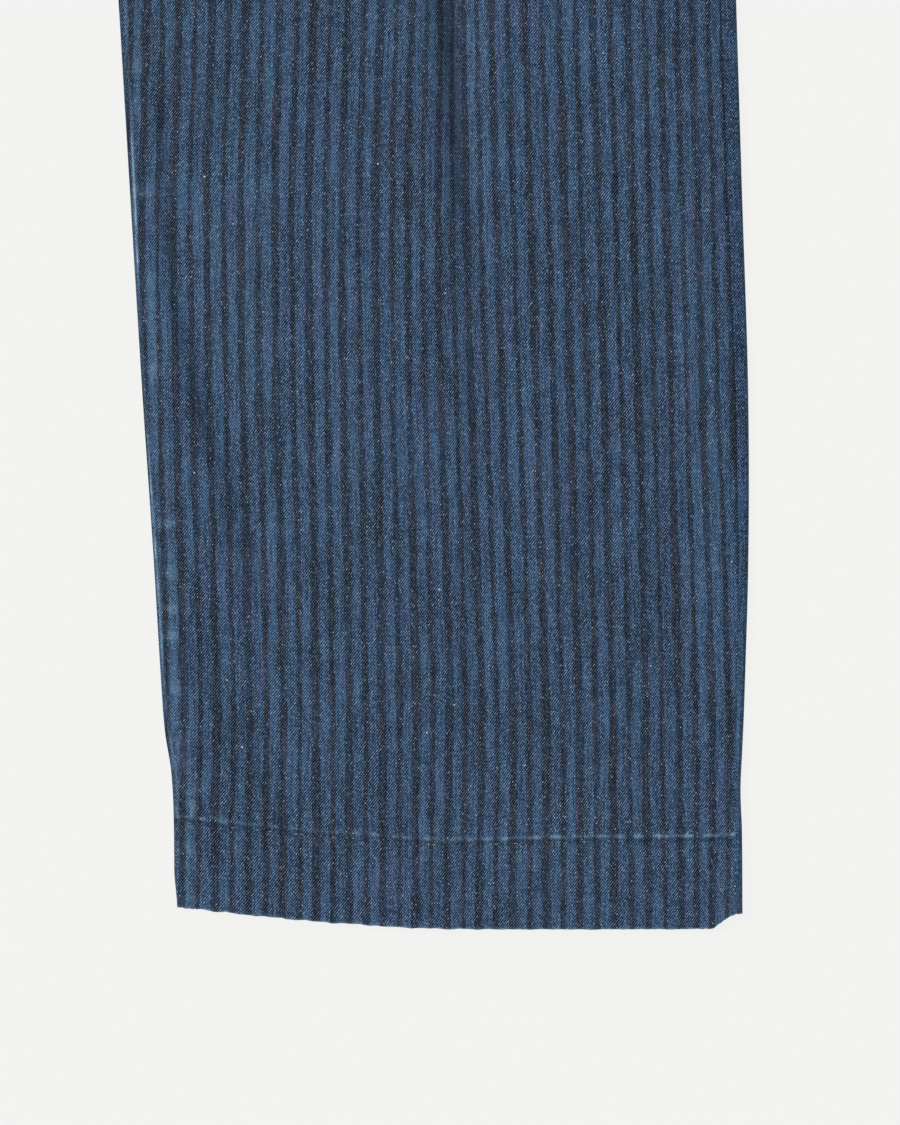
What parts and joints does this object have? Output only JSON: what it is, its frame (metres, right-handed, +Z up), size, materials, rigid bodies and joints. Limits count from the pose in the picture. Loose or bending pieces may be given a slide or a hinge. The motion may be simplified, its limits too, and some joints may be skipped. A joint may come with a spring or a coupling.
{
  "type": "work trousers",
  "caption": "Wide straight-legged denim work trousers with narrow warp stripes, laid flat, with a waistband, fly, slanted hand pockets, belt loops and turned-up stitched hems.",
  "frame": {"origin": "middle of the garment's outline, on the surface it lies on", "axes": "+X towards the wearer's left side, +Y along the garment from the hems to the waist, +Z up out of the front"},
  "size_m": [0.5994, 1.0371, 0.0103],
  "materials": {
    "denim": "washed blue twill with dark warp stripes",
    "denim_facing": "washed blue twill with dark warp stripes",
    "denim_band": "washed blue twill with dark stripes",
    "button": "darkened, satin"
  },
  "bodies": {
    "root": {"front_left": "denim", "front_right": "denim", "back_left": "denim", "back_right": "denim", "pocket_facing_left": "denim_facing", "pocket_facing_right": "denim_facing", "waistband_left": "denim_band", "waistband_right": "denim_band", "waistband_back": "denim_band", "belt_loop_1": "denim_band", "belt_loop_2": "denim_band", "belt_loop_3": "denim_band", "belt_loop_4": "denim_band", "waist_button": "button"}
  },
  "joints": []
}
